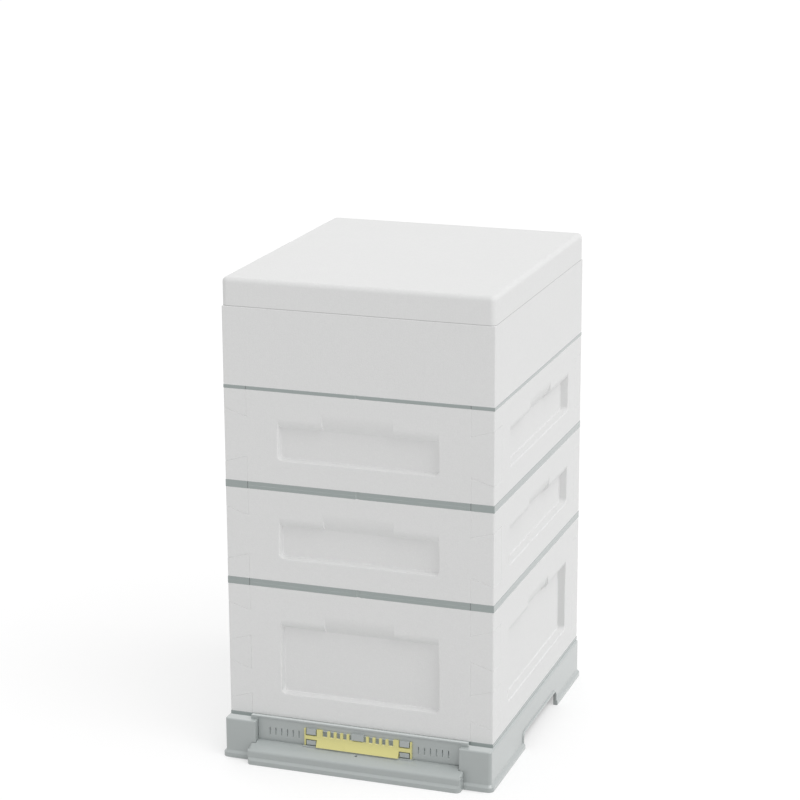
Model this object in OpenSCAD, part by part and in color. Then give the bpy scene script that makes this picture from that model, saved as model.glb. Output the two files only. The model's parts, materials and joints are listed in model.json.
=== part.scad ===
// Stacked foam beehive: mesh floor, brood box, two honey supers, feeder and roof.
// Millimetres. The hive stands on the ground at z = 0, its entrance looks to -Y.
// Parts are drawn about the middle of the boxes, then moved back by body_y.

/* [Boxes] */
// Outside width of every box, across the entrance
box_w = 470; // [450:1:500]
// Outside depth of every box, front to back
box_d = 530; // [510:1:560]
// Thickness of the foam walls
wall_t = 40; // [36:1:44]
// Height of the brood box
brood_h = 244; // [236:1:280]
// Height of each honey super
super_h = 171; // [160:1:200]
// Height of the roof slab
roof_h = 48; // [40:1:70]
// Rounding of the roof's top edges
roof_r = 8; // [4:0.5:9.5]
// Rounding of the roof's upright corners
roof_corner = 10; // [10:0.5:18]

/* [Rails] */
// Height of the plastic band that shows at the top of a wall
rail_t = 6; // [5:0.5:7]
// Height of the plastic band that shows at the foot of a wall
foot_t = 6.5; // [5.5:0.5:8]
// Distance from a box's outside face to its locating lip
lip_inset = 20; // [17:0.5:22]
// Height of the locating lip above the ledge
lip_h = 6; // [4:0.5:7]
// Thickness of the lip on the front and back rails
lip_t = 4; // [3:0.5:5]
// Clearance round and above the lip
fit_gap = 1; // [0.5:0.1:1.5]
// Depth of the frame rest below the ledge
rest_drop = 10; // [9:0.5:12]
// Thickness of the plastic under the frame rest
rest_t = 3; // [2:0.5:4]
// Height of the ridge the frames hang on
ridge_h = 2; // [1:0.5:5]
// Width of the ridge the frames hang on
ridge_w = 3; // [2:0.5:4]
// Width of the keel that holds a rail in the foam
keel_w = 6; // [4:0.5:8]
// Depth of the keel that holds a rail in the foam
keel_h = 8; // [5:0.5:10]
// Width of the nick in the middle of the front and back rails
nick_w = 6; // [4:0.5:10]

/* [Dovetails] */
// Drop from a super's top edge to its dovetail, at the seam
super_tail_drop = 52; // [46:1:56]
// Height of a super's dovetail at the seam
super_tail_h = 69; // [50:1:75]
// Drop from the brood box's top edge to its upper dovetail, at the seam
brood_tail_drop = 51; // [46:1:56]
// Height of each brood box dovetail at the seam
brood_tail_h = 45; // [35:1:55]
// Distance between the two brood box dovetails
brood_tail_pitch = 105; // [95:1:115]
// How much a dovetail widens on each side at the outer face
tail_flare = 12; // [8:1:16]

/* [Hand holds] */
// Depth of a hand hold
hold_depth = 15; // [10:0.5:18]
// Corner radius of a hand hold
hold_r = 8; // [4:0.5:12]
// Width of the hand holds in the front and back walls
front_hold_w = 280; // [240:1:300]
// Width of the hand holds in the side walls
side_hold_w = 358; // [320:1:380]
// Width of the raised finger tab at the top of a hand hold
tab_w = 124; // [90:1:160]
// How far the finger tab reaches above the hand hold
tab_rise = 15; // [8:1:18]
// Height of the rounded nose along the top of a hand hold
nose_h = 18; // [14:1:22]
// Drop from a super's top edge to its hand hold
super_hold_drop = 51; // [46:1:56]
// Height of a super's hand hold
super_hold_h = 72; // [60:1:80]
// Drop from the brood box's top edge to its hand hold
brood_hold_drop = 60; // [50:1:64]
// Height of the brood box's hand hold
brood_hold_h = 134; // [110:1:140]

/* [Feeder] */
// Height of the feeder
feeder_h = 133; // [115:1:160]
// Thickness of the feeder's foam floor
tank_floor = 25; // [20:1:32]
// Width of the wall between the two tanks
divider_w = 34; // [24:1:44]
// Offset of the dividing wall from the middle, to the right
divider_x = -8; // [-30:1:30]
// Depth, front to back, of the bee passage block
riser_d = 42; // [36:1:50]
// Drop from the feeder's rim to the top of the bee passage block
riser_drop = 28; // [24:1:34]
// Width, front to back, of the bee passage
passage_d = 16; // [10:1:20]
// Foam left at each end of the bee passage
passage_end = 18; // [12:1:30]
// Thickness of the perforated screen
screen_t = 1.5; // [1:0.25:2]
// Drop from the feeder's rim to the top of the screen
screen_drop = 12; // [8:1:16]
// Length of the screen's level part
screen_run = 74; // [62:1:90]
// Diameter of the holes in the screen
hole_d = 5; // [3.5:0.25:5.5]
// Distance between the holes in the screen
hole_pitch = 9; // [8:0.5:12]

/* [Floor] */
// Height of the floor's ledge, where the brood box stands
floor_h = 70; // [66:1:80]
// How far the floor reaches past the boxes on each side
side_reach = 3; // [1:0.5:6]
// How far the floor's front blocks reach past the boxes
front_reach = 20; // [18:1:26]
// Width of the floor's side beams
beam_w = 46; // [40:1:50]
// Width of the floor's back beam
back_beam = 30; // [26:1:34]
// Width of the blocks beside the entrance
block_w = 56; // [50:1:62]
// Depth of the blocks beside the entrance
block_d = 57; // [52:1:62]
// Thickness of the moulded skins
skin = 4; // [3:0.5:5]
// Rounding of the floor's upright corners
corner_r = 6; // [4:0.5:10]
// Rounding of the floor's top edge
edge_r = 2.5; // [1:0.5:3.5]
// Height of the bead round the floor's foot
bead_h = 8; // [5:0.5:10]
// How far the bead stands out
bead_w = 4; // [2:0.5:6]
// Length of the gap between the feet on each side
gap_len = 205; // [160:1:240]
// Height of the gap between the feet on each side
gap_h = 28; // [20:1:30]
// Corner radius of the gap between the feet
gap_r = 10; // [4:1:14]
// Height of the mesh panel's top above the ground
panel_z = 50; // [46:0.5:52]
// Thickness of the mesh panel
panel_t = 5; // [4:0.5:6]
// Thickness of the mesh panel's outer border
border_t = 3; // [2:0.5:3.5]
// Width of the shelf that carries the mesh panel
shelf_w = 14; // [11:0.5:15]
// Thickness of the shelf that carries the mesh panel
shelf_t = 3; // [2:0.5:4]
// Distance between the mesh panel's long ribs
rib_pitch = 29; // [27:0.5:30]
// Width of the mesh panel's ribs
rib_w = 2.5; // [2:0.25:4]
// Distance between the rows of slots
row_pitch = 8.5; // [8:0.5:12]
// Width of a slot
slot_w = 4; // [3:0.2:5]
// Width of a yellow clip
clip_w = 27; // [22:1:28]
// Length of a yellow clip
clip_l = 52; // [40:1:60]
// Distance between the clips along a side
clip_pitch = 165; // [140:1:175]

/* [Entrance] */
// Height of the sill above the ground
sill_z = 34; // [32:0.5:36]
// Thickness of the sill
sill_t = 5; // [3:0.5:6]
// How far the entrance wall rises above the ledge
wall_rise = 7; // [5:0.5:9]
// Thickness of the entrance wall
front_t = 4; // [3:0.5:5]
// Gap between the entrance wall and the brood box
front_gap = 3.5; // [3:0.5:5]
// Diameter of the pins under the entrance wall's ears
ear_pin = 5; // [4:0.5:6]
// Number of air slots on each side of the gate
air_slots = 6; // [4:1:7]
// Distance from the last air slot to the end of the entrance wall
air_edge = 21.5; // [15:0.5:30]
// Width of the yellow gate
gate_w = 192; // [186:1:196]
// Thickness of the yellow gate
gate_t = 4; // [3:0.5:5]
// Height of the yellow gate
gate_h = 30; // [28:0.5:31]
// Height of the gate's bar above the bottom of the gate
bar_z = 11; // [9:0.5:13]
// Height of the gate's bar
bar_h = 7; // [5:0.5:8]
// Width of a narrow tooth
tooth_w = 4.6; // [3.5:0.1:5.5]
// Distance between the narrow teeth
tooth_pitch = 11.6; // [10:0.1:12]
// Width of a wide tooth
wide_tooth = 10; // [8:0.5:12]
// How far the gate's apron leans out at the bottom
apron_out = 6; // [3:0.5:8]
// How far the landing board reaches past the front blocks
board_reach = 23; // [18:1:30]
// How far the landing board's front laps over each block
board_lap = 9; // [5:1:14]
// How far the landing board's top falls from back to front
board_slope = 10; // [6:0.5:14]
// Rounding along the landing board's nose
board_r = 5; // [3:0.5:7]
// Rounding of the landing board's front corners
board_corner = 10; // [5:0.5:14]
// Diameter of the hole in the landing board
board_hole = 4; // [3:0.5:6]

/* [Hidden] */
$fn = 64;
cut = 1;

// Heights in the stack
brood_z = floor_h;
lower_z = brood_z + brood_h;
upper_z = lower_z + super_h;
feeder_z = upper_z + super_h;
roof_z = feeder_z + feeder_h;

// Half sizes of the boxes
half_w = box_w / 2;
half_d = box_d / 2;
seam_x = half_w - wall_t;
inner_y = half_d - wall_t;

// Rail and rebate sizes
rebate_in = lip_inset - fit_gap;
rebate_h = lip_h + fit_gap;
web_t = 4;
foot_in = 12;
foot_top = rebate_h + web_t;
rest_in = lip_inset + lip_t;
rest_low = rest_drop + rest_t;
keel_in = 7;
keel_low = rail_t + keel_h;
nick_d = 1.5;

// Dovetails and hand holds of each box: drops from the top edge, and heights
super_tails = [[super_tail_drop, super_tail_h]];
brood_tails = [
  [brood_tail_drop, brood_tail_h],
  [brood_tail_drop + brood_tail_pitch, brood_tail_h]
];
super_hold = [super_hold_drop, super_hold_h];
brood_hold = [brood_hold_drop, brood_hold_h];

// Feeder
tank_left = divider_x - divider_w / 2;
tank_right = divider_x + divider_w / 2;
riser_top = feeder_h - riser_drop;
passage_y = inner_y - riser_d / 2;
screen_top = feeder_h - screen_drop;
screen_y = inner_y - screen_run;
screen_w = tank_left + seam_x;
screen_edge = 7;

// Floor
body_y = (front_reach + board_reach - bead_w) / 2;
base_x = half_w + side_reach;
base_front = -half_d - front_reach;
base_back = half_d;
base_d = base_back - base_front;
base_mid = (base_front + base_back) / 2;
well_x = base_x - beam_w;
well_front = base_front + block_d;
well_back = base_back - back_beam;
open_x = base_x - block_w;
lip_x = half_w - lip_inset;
lip_y = half_d - lip_inset;
lip_seg_d = 15;
lip_r = 8;
gap_mid = 7.5;
shelf_z = panel_z - panel_t;
wall_below = 8;
inner_low = shelf_z - shelf_t - wall_below;
back_shelf_more = 6;
back_shelf = well_back - shelf_w - back_shelf_more;

// Mesh panel and its clips
panel_play = 2;
panel_x = well_x - panel_play;
panel_front = well_front + panel_play;
panel_back_gap = 13;
panel_back = well_back - panel_back_gap;
panel_mid = (panel_front + panel_back) / 2;
border_w = 12;
raised_x = panel_x - border_w;
clip_strip = 26;
mesh_x = raised_x - clip_strip;
mesh_end = 12;
mesh_half = (panel_back - panel_front) / 2 - mesh_end;
rows = floor(2 * mesh_half / row_pitch);
even_ribs = 4;
last_even = even_ribs * rib_pitch;
side_rib_share = 0.56;
side_rib = last_even + (mesh_x - last_even) * side_rib_share;
rib_x = [for (i = [0:even_ribs]) i * rib_pitch, side_rib, mesh_x];
clip_edge = 4;
clip_x = raised_x - clip_edge - clip_w / 2;
clip_side_play = 1;
clip_end_play = 3;
clip_shift = 12;
clip_mid = panel_mid + clip_shift;
clip_ys = [clip_mid - clip_pitch, clip_mid, clip_mid + clip_pitch];
clip_sink = 1;
clip_top = panel_z - clip_sink;
clip_foot = 3;
hook_gap = 4;
hook_end = well_x - hook_gap;
hook_step = 6;

// Entrance
front_y = -half_d - front_gap;
front_face = front_y - front_t;
front_top = floor_h + wall_rise;
ear_w = 12;
ear_x = open_x + ear_w;
ear_low = floor_h;
ear_mid = (open_x + ear_x) / 2;
pin_y = front_y - front_t / 2;
pin_l = 8;
flange_t = 3;
flange_out = 1.5;
end_play = 0.5;
wall_x = open_x - end_play;
sill_step = 2;
sill_front = front_face - sill_step;
shelf_up = 2;
gate_z = sill_z + shelf_up;
gate_x = gate_w / 2;
post_w = 2.5;
lug_gap = 1.5;
lug_out = 4.5;
lug_x = gate_x - post_w - lug_gap;
lug_w = 17;
lug_in = lug_x - lug_w;
wide_x = lug_in - lug_gap;
teeth_z = gate_z + bar_z + bar_h;
lug_rise = 2;
lug_low = teeth_z + lug_rise;
mouth_rise = 4;
mouth_z = gate_z + mouth_rise;
gate_top = gate_z + gate_h;
teeth = 4;
tooth_x0 = 1.5 * tooth_pitch;
tooth_short = 1;
centre_lug = 11;
shelf_out = 8;
shelf_end = 2;
shelf_x = gate_x + shelf_end;
air_start = 11;
air_x0 = gate_x + air_start;
air_pitch = (wall_x - air_edge - air_x0) / (air_slots - 1);
air_rise = 11;
air_z = sill_z + air_rise;
air_h = 13;
air_w = 2;
board_rear = sill_front;
board_front = base_front - board_reach;
board_flat = 6;
board_low = sill_z - board_slope;
board_face = board_front + bead_w;
board_tilt = atan2(board_slope, board_rear - board_flat - board_face);
board_x = wall_x + board_lap;
board_lap_y = base_front - bead_w - fit_gap;
board_lap_top = base_front - fit_gap;
board_lap_z = bead_h + bead_w + fit_gap;
board_round = min(board_corner, (board_lap_y - board_front - fit_gap) / 2);
hole_y = board_rear - board_flat - board_hole;
tongue_w = 20;
tongue_x = 80;
tongue_t = 4;
tongue_in = 30;

foam = [0.93, 0.93, 0.92];
plastic = [0.66, 0.70, 0.69];
pale_plastic = [0.74, 0.77, 0.76];
yellow = [0.90, 0.82, 0.25];
sheet = [0.88, 0.88, 0.84];

// Shared placing

// Moves a part from the middle of the boxes to its place in the stack
module at_height(z) {
  translate([0, body_y, z]) children();
}

// Turns a front part to the back, or a left part to the right
module turned() {
  rotate([0, 0, 180]) children();
}

// A block given by its low and high corners
module block(low, high) {
  translate(low) cube(high - low);
}

// A flat outline in Y and Z, drawn out along X from -half to half
module along_x(half) {
  rotate([90, 0, 90]) translate([0, 0, -half]) linear_extrude(2 * half) children();
}

// A flat outline in X and Z, drawn out along Y from one depth to another
module along_y(from, to) {
  translate([0, to, 0]) rotate([90, 0, 0]) linear_extrude(to - from) children();
}

// A rectangle about the middle with rounded corners
module rounded_rect(x, y, r) {
  square([2 * (x - r), 2 * y], center = true);
  square([2 * x, 2 * (y - r)], center = true);
  for (i = [-1, 1], j = [-1, 1]) translate([i * (x - r), j * (y - r)]) circle(r);
}

// A section, drawn as distance out and height, carried round a rectangle and turned at its corners
module carried_round(x, y) {
  for (side = [0, 1]) mirror([0, side, 0]) {
    translate([0, y, 0]) along_x(x) children();
    for (end = [0, 1]) mirror([end, 0, 0]) translate([x, y, 0]) rotate_extrude(angle = 90) children();
  }
  for (side = [0, 1]) mirror([side, 0, 0]) translate([x, 0, 0]) along_y(-y, y) children();
}

// Section of an edge that is upright below and rounded over at the top
module rounded_edge(w, h, r) {
  square([w, h - r]);
  square([w - r, h]);
  translate([w - r, h - r]) intersection() {
    circle(r);
    square(r);
  }
}

// Foam walls

// Outline of one dovetail at the left end of a front wall, drawn on past the outer face
module tail_outline(h, tail, past) {
  top = h - tail[0];
  low = top - tail[1];
  flare = tail_flare * (wall_t + past) / wall_t;
  polygon([
    [cut - seam_x, top],
    [-seam_x, top],
    [-half_w - past, top + flare],
    [-half_w - past, low - flare],
    [-seam_x, low],
    [cut - seam_x, low]
  ]);
}

// All dovetails of a front wall, both ends, or their sockets when drawn past the faces
module tails(h, list, past = 0) {
  along_y(-half_d - past, -inner_y)
    for (tail = list) {
      tail_outline(h, tail, past);
      mirror([1, 0]) tail_outline(h, tail, past);
    }
}

// Space of a hand hold's upper part: a square cut less a rounded nose
module nose_cut(w, top, h) {
  r = (h * h + hold_depth * hold_depth) / (2 * hold_depth);
  difference() {
    block([-w / 2, -cut, top - h], [w / 2, hold_depth, top]);
    translate([-w / 2 - cut, r, top]) rotate([0, 90, 0]) cylinder(r = r, h = w + 2 * cut);
  }
}

// Space of a hand hold in a wall whose outside face is y = 0
module hold_cut(w, h, hold) {
  top = h - hold[0];
  crease = top - nose_h;
  low = top - hold[1];
  along_y(-cut, hold_depth) {
    translate([-w / 2 + hold_r, low]) square([w - 2 * hold_r, crease - low]);
    translate([-w / 2, low + hold_r]) square([w, crease - low - hold_r]);
    translate([-w / 2 + hold_r, low + hold_r]) circle(hold_r);
    translate([w / 2 - hold_r, low + hold_r]) circle(hold_r);
  }
  nose_cut(w, top, nose_h);
  nose_cut(tab_w, top + tab_rise, nose_h + tab_rise);
}

// Section of a front wall: distance in from the outside face, and height
module front_section(h) {
  polygon([
    [0, foot_t],
    [foot_in, foot_t],
    [foot_in, foot_top],
    [wall_t, foot_top],
    [wall_t, h - rest_low],
    [lip_inset, h - rest_low],
    [lip_inset, h - rail_t],
    [keel_in + keel_w, h - rail_t],
    [keel_in + keel_w, h - keel_low],
    [keel_in, h - keel_low],
    [keel_in, h - rail_t],
    [0, h - rail_t]
  ]);
}

// Front wall with its dovetails and hand hold
module front_wall(h, list, hold) {
  difference() {
    union() {
      translate([0, -half_d, 0]) along_x(seam_x) front_section(h);
      tails(h, list);
    }
    translate([0, -half_d, 0]) hold_cut(front_hold_w, h, hold);
  }
}

// Left wall with the sockets for the dovetails and its hand hold
module left_wall(h, list, hold) {
  keel_x = keel_in - half_w;
  difference() {
    block([-half_w, -half_d, foot_t], [-seam_x, half_d, h - rail_t]);
    block([foot_in - half_w, foot_in - half_d, 0], [cut - seam_x, half_d - foot_in, foot_top]);
    block([keel_x, wall_t - half_d, h - keel_low], [keel_x + keel_w, inner_y, h]);
    tails(h, list, cut);
    turned() tails(h, list, cut);
    translate([-half_w, 0, 0]) rotate([0, 0, -90]) hold_cut(side_hold_w, h, hold);
  }
}

// Rails

// Section of a front top rail with its lip, frame rest and keel
module top_section(h) {
  polygon([
    [0, h - rail_t],
    [keel_in, h - rail_t],
    [keel_in, h - keel_low],
    [keel_in + keel_w, h - keel_low],
    [keel_in + keel_w, h - rail_t],
    [lip_inset, h - rail_t],
    [lip_inset, h - rest_low],
    [wall_t, h - rest_low],
    [wall_t, h - rest_drop + ridge_h],
    [wall_t - ridge_w, h - rest_drop + ridge_h],
    [wall_t - ridge_w, h - rest_drop],
    [rest_in, h - rest_drop],
    [rest_in, h + lip_h],
    [lip_inset, h + lip_h],
    [lip_inset, h],
    [0, h]
  ]);
}

// Front top rail, nicked in the middle
module front_top_rail(h) {
  difference() {
    translate([0, -half_d, 0]) along_x(seam_x) top_section(h);
    block([-nick_w / 2, -half_d - cut, h - rail_t - cut], [nick_w / 2, nick_d - half_d, h + cut]);
  }
}

// Left top rail: runs the whole depth and carries the corners of the lip
module left_top_rail(h) {
  keel_x = keel_in - half_w;
  block([-half_w, -half_d, h - rail_t], [-seam_x, half_d, h]);
  block([-lip_x, -lip_y, h], [-seam_x, lip_y, h + lip_h]);
  block([keel_x, wall_t - half_d, h - keel_low], [keel_x + keel_w, inner_y, h - rail_t]);
}

// Section of a front foot rail, rebated over the lip below
module foot_section() {
  polygon([
    [0, 0],
    [rebate_in, 0],
    [rebate_in, rebate_h],
    [wall_t, rebate_h],
    [wall_t, foot_top],
    [foot_in, foot_top],
    [foot_in, foot_t],
    [0, foot_t]
  ]);
}

// Front foot rail, nicked in the middle
module front_foot_rail() {
  difference() {
    translate([0, -half_d, 0]) along_x(seam_x) foot_section();
    block([-nick_w / 2, -half_d - cut, -cut], [nick_w / 2, nick_d - half_d, foot_t + cut]);
  }
}

// Left foot rail: runs the whole depth, rebated over the lip below
module left_foot_rail() {
  difference() {
    union() {
      block([-half_w, -half_d, 0], [-seam_x, half_d, foot_t]);
      block([foot_in - half_w, foot_in - half_d, 0], [-seam_x, half_d - foot_in, foot_top]);
    }
    block([rebate_in - half_w, rebate_in - half_d, -cut], [cut - seam_x, half_d - rebate_in, rebate_h]);
  }
}

// Brood box

module brood_front_wall() {
  color(foam) at_height(brood_z) front_wall(brood_h, brood_tails, brood_hold);
}

module brood_back_wall() {
  color(foam) at_height(brood_z) turned() front_wall(brood_h, brood_tails, brood_hold);
}

module brood_left_wall() {
  color(foam) at_height(brood_z) left_wall(brood_h, brood_tails, brood_hold);
}

module brood_right_wall() {
  color(foam) at_height(brood_z) turned() left_wall(brood_h, brood_tails, brood_hold);
}

module brood_front_top_rail() {
  color(plastic) at_height(brood_z) front_top_rail(brood_h);
}

module brood_back_top_rail() {
  color(plastic) at_height(brood_z) turned() front_top_rail(brood_h);
}

module brood_left_top_rail() {
  color(plastic) at_height(brood_z) left_top_rail(brood_h);
}

module brood_right_top_rail() {
  color(plastic) at_height(brood_z) turned() left_top_rail(brood_h);
}

module brood_front_foot_rail() {
  color(plastic) at_height(brood_z) front_foot_rail();
}

module brood_back_foot_rail() {
  color(plastic) at_height(brood_z) turned() front_foot_rail();
}

module brood_left_foot_rail() {
  color(plastic) at_height(brood_z) left_foot_rail();
}

module brood_right_foot_rail() {
  color(plastic) at_height(brood_z) turned() left_foot_rail();
}

// Lower honey super

module lower_front_wall() {
  color(foam) at_height(lower_z) front_wall(super_h, super_tails, super_hold);
}

module lower_back_wall() {
  color(foam) at_height(lower_z) turned() front_wall(super_h, super_tails, super_hold);
}

module lower_left_wall() {
  color(foam) at_height(lower_z) left_wall(super_h, super_tails, super_hold);
}

module lower_right_wall() {
  color(foam) at_height(lower_z) turned() left_wall(super_h, super_tails, super_hold);
}

module lower_front_top_rail() {
  color(plastic) at_height(lower_z) front_top_rail(super_h);
}

module lower_back_top_rail() {
  color(plastic) at_height(lower_z) turned() front_top_rail(super_h);
}

module lower_left_top_rail() {
  color(plastic) at_height(lower_z) left_top_rail(super_h);
}

module lower_right_top_rail() {
  color(plastic) at_height(lower_z) turned() left_top_rail(super_h);
}

module lower_front_foot_rail() {
  color(plastic) at_height(lower_z) front_foot_rail();
}

module lower_back_foot_rail() {
  color(plastic) at_height(lower_z) turned() front_foot_rail();
}

module lower_left_foot_rail() {
  color(plastic) at_height(lower_z) left_foot_rail();
}

module lower_right_foot_rail() {
  color(plastic) at_height(lower_z) turned() left_foot_rail();
}

// Upper honey super

module upper_front_wall() {
  color(foam) at_height(upper_z) front_wall(super_h, super_tails, super_hold);
}

module upper_back_wall() {
  color(foam) at_height(upper_z) turned() front_wall(super_h, super_tails, super_hold);
}

module upper_left_wall() {
  color(foam) at_height(upper_z) left_wall(super_h, super_tails, super_hold);
}

module upper_right_wall() {
  color(foam) at_height(upper_z) turned() left_wall(super_h, super_tails, super_hold);
}

module upper_front_top_rail() {
  color(plastic) at_height(upper_z) front_top_rail(super_h);
}

module upper_back_top_rail() {
  color(plastic) at_height(upper_z) turned() front_top_rail(super_h);
}

module upper_left_top_rail() {
  color(plastic) at_height(upper_z) left_top_rail(super_h);
}

module upper_right_top_rail() {
  color(plastic) at_height(upper_z) turned() left_top_rail(super_h);
}

module upper_front_foot_rail() {
  color(plastic) at_height(upper_z) front_foot_rail();
}

module upper_back_foot_rail() {
  color(plastic) at_height(upper_z) turned() front_foot_rail();
}

module upper_left_foot_rail() {
  color(plastic) at_height(upper_z) left_foot_rail();
}

module upper_right_foot_rail() {
  color(plastic) at_height(upper_z) turned() left_foot_rail();
}

// Feeder and roof

// Hollow under a box that fits over the lip of the box below
module lip_rebate() {
  block([rebate_in - half_w, rebate_in - half_d, -cut], [half_w - rebate_in, half_d - rebate_in, rebate_h]);
}

// Foam feeder: two tanks, and a block with a slot for the bees to climb through
module feeder_body() {
  color(foam) at_height(feeder_z) difference() {
    union() {
      block([-half_w, -half_d, 0], [half_w, half_d, feeder_h]);
      block([-lip_x, -lip_y, feeder_h], [lip_x, lip_y, feeder_h + lip_h]);
    }
    lip_rebate();
    block([-seam_x, -inner_y, feeder_h], [seam_x, inner_y, feeder_h + lip_h + cut]);
    block([tank_right, -inner_y, tank_floor], [seam_x, inner_y, feeder_h + cut]);
    block([-seam_x, -inner_y, tank_floor], [tank_left, inner_y - riser_d, feeder_h + cut]);
    block([-seam_x, inner_y - riser_d - cut, riser_top], [tank_left, inner_y, feeder_h + cut]);
    block(
      [passage_end - seam_x, passage_y - passage_d / 2, 0],
      [tank_left - passage_end, passage_y + passage_d / 2, riser_top + cut]
    );
  }
}

// Holes of one flat part of the screen, on an even grid inside its edges
module screen_holes(w, h) {
  nx = floor((w - 2 * screen_edge) / hole_pitch);
  ny = floor((h - 2 * screen_edge) / hole_pitch);
  for (i = [0:nx], j = [0:ny]) {
    translate([w / 2 + (i - nx / 2) * hole_pitch, h / 2 + (j - ny / 2) * hole_pitch]) circle(d = hole_d);
  }
}

// Perforated sheet bent over the bee passage: a level part and an upright part
module feeder_screen() {
  drop = screen_top - tank_floor;
  color(sheet) at_height(feeder_z) translate([-seam_x, 0, 0]) {
    translate([0, screen_y, screen_top - screen_t]) linear_extrude(screen_t) difference() {
      square([screen_w, screen_run]);
      screen_holes(screen_w, screen_run);
    }
    along_y(screen_y, screen_y + screen_t) translate([0, tank_floor]) difference() {
      square([screen_w, drop]);
      screen_holes(screen_w, drop);
    }
  }
}

// Roof slab, rounded along its top edges and down its corners
module roof() {
  x = half_w - roof_corner;
  y = half_d - roof_corner;
  color(foam) at_height(roof_z) difference() {
    union() {
      block([-x, -y, 0], [x, y, roof_h]);
      carried_round(x, y) rounded_edge(roof_corner, roof_h, roof_r);
    }
    lip_rebate();
  }
}

// Floor

// Outline of the gap between the feet, front to back, grown by a rim and drawn from a low level
module gap_outline(rim, low) {
  half = gap_len / 2 + rim;
  top = gap_h + rim;
  r = gap_r + rim;
  translate([gap_mid, 0]) {
    translate([-half, low]) square([2 * half, top - r - low]);
    translate([r - half, low]) square([2 * (half - r), top - low]);
    for (end = [-1, 1]) translate([end * (half - r), top - r]) circle(r);
  }
}

// Gap between the feet on one side, through the outer skin
module foot_gap(side) {
  translate([side * (base_x - skin / 2), 0, 0]) along_x(skin + bead_w) gap_outline(0, -cut);
}

// Raised rim round the gap between the feet, on both sides
module gap_rims() {
  along_x(base_x + bead_w / 2) gap_outline(bead_w, 0);
}

// Outer body of the floor, beaded at the foot and rounded over at the top
module base_body() {
  x = base_x - corner_r;
  y = base_d / 2 - corner_r;
  translate([0, base_mid, 0]) {
    block([-x, -y, 0], [x, y, floor_h]);
    carried_round(x, y) {
      rounded_edge(corner_r, floor_h, edge_r);
      polygon([
        [0, 0],
        [corner_r + bead_w, 0],
        [corner_r + bead_w, bead_h],
        [corner_r, bead_h + bead_w],
        [0, bead_h + bead_w]
      ]);
    }
  }
}

// Hollows under the beams and blocks, open to the ground
module base_hollows() {
  top = floor_h - skin;
  for (side = [0, 1]) mirror([side, 0, 0]) {
    block([well_x + skin, base_front + skin, -cut], [base_x - skin, base_back - skin, top]);
    block([open_x + skin, base_front + skin, -cut], [base_x - skin, well_front - skin, top]);
    block([well_x - cut, well_front, -cut], [well_x + skin + cut, well_back + skin + cut, inner_low]);
  }
  block([-base_x + skin, well_back + skin, -cut], [base_x - skin, base_back - skin, top]);
  block([-well_x - skin, well_back - cut, -cut], [well_x + skin, well_back + skin + cut, inner_low]);
}

// Moulded floor: hollow beams, ledge, lip, feet, and the shelf for the mesh panel
module floor_base() {
  lip_top = floor_h + lip_h;
  web_low = sill_z - sill_t;
  color(plastic) at_height(0) {
    difference() {
      union() {
        base_body();
        gap_rims();
        translate([0, 0, floor_h]) linear_extrude(lip_h) rounded_rect(lip_x, lip_y, lip_r);
      }
      block([-well_x, -lip_y + lip_seg_d, floor_h], [well_x, well_back, lip_top + cut]);
      block([-well_x, well_front, -cut], [well_x, well_back, floor_h + cut]);
      block([-open_x, base_front - bead_w - cut, -cut], [open_x, well_front + cut, lip_top + cut]);
      base_hollows();
      foot_gap(-1);
      foot_gap(1);
      for (side = [-1, 1])
        translate([side * ear_mid, pin_y, ear_low - pin_l - fit_gap])
          cylinder(d = ear_pin + fit_gap, h = pin_l + 2 * fit_gap);
    }
    for (side = [0, 1]) mirror([side, 0, 0])
      block([well_x - shelf_w, well_front, shelf_z - shelf_t], [well_x, well_back, shelf_z]);
    block([-well_x, back_shelf, shelf_z - shelf_t], [well_x, well_back, shelf_z]);
    block([-well_x, well_front - skin, shelf_z - shelf_t], [well_x, well_front + shelf_w, shelf_z]);
    block([-open_x, well_front - skin, web_low], [open_x, well_front, shelf_z]);
    block([-open_x, sill_front, web_low], [open_x, well_front, sill_z]);
  }
}

// Outline of the slots through the mesh panel, one side of the middle
module slot_grid() {
  for (k = [0:len(rib_x) - 2], j = [0:rows - 1]) {
    y = (j - (rows - 1) / 2) * row_pitch;
    near = min([for (c = clip_ys) abs(y + panel_mid - c)]);
    if (k < len(rib_x) - 2 || near > clip_l / 2 + clip_end_play + slot_w)
      translate([rib_x[k] + rib_w / 2, y - slot_w / 2]) square([rib_x[k + 1] - rib_x[k] - rib_w, slot_w]);
  }
}

// Mesh panel: slotted middle, pockets for the clips, thinner border
module mesh_panel() {
  color(pale_plastic) at_height(shelf_z) {
    linear_extrude(panel_t) difference() {
      translate([-raised_x, panel_front]) square([2 * raised_x, panel_back - panel_front]);
      translate([0, panel_mid]) {
        slot_grid();
        mirror([1, 0]) slot_grid();
      }
      for (side = [-1, 1], y = clip_ys)
        translate([side * clip_x, y])
          square([clip_w + 2 * clip_side_play, clip_l + 2 * clip_end_play], center = true);
    }
    for (side = [0, 1]) mirror([side, 0, 0])
      block([raised_x, panel_front, 0], [panel_x, panel_back, border_t]);
  }
}

// Yellow clips: each fills a pocket and hooks under the shelf
module panel_clips() {
  hook_z = shelf_z - shelf_t;
  low = hook_z - clip_foot;
  color(yellow) at_height(0)
    for (side = [0, 1], y = clip_ys) mirror([side, 0, 0]) translate([clip_x, y, 0]) {
      block([-clip_w / 2, -clip_l / 2, low], [clip_w / 2, clip_l / 2, clip_top]);
      block([0, hook_step - clip_l / 2, low], [hook_end - clip_x, clip_l / 2 - hook_step, hook_z]);
    }
}

// Entrance

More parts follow.
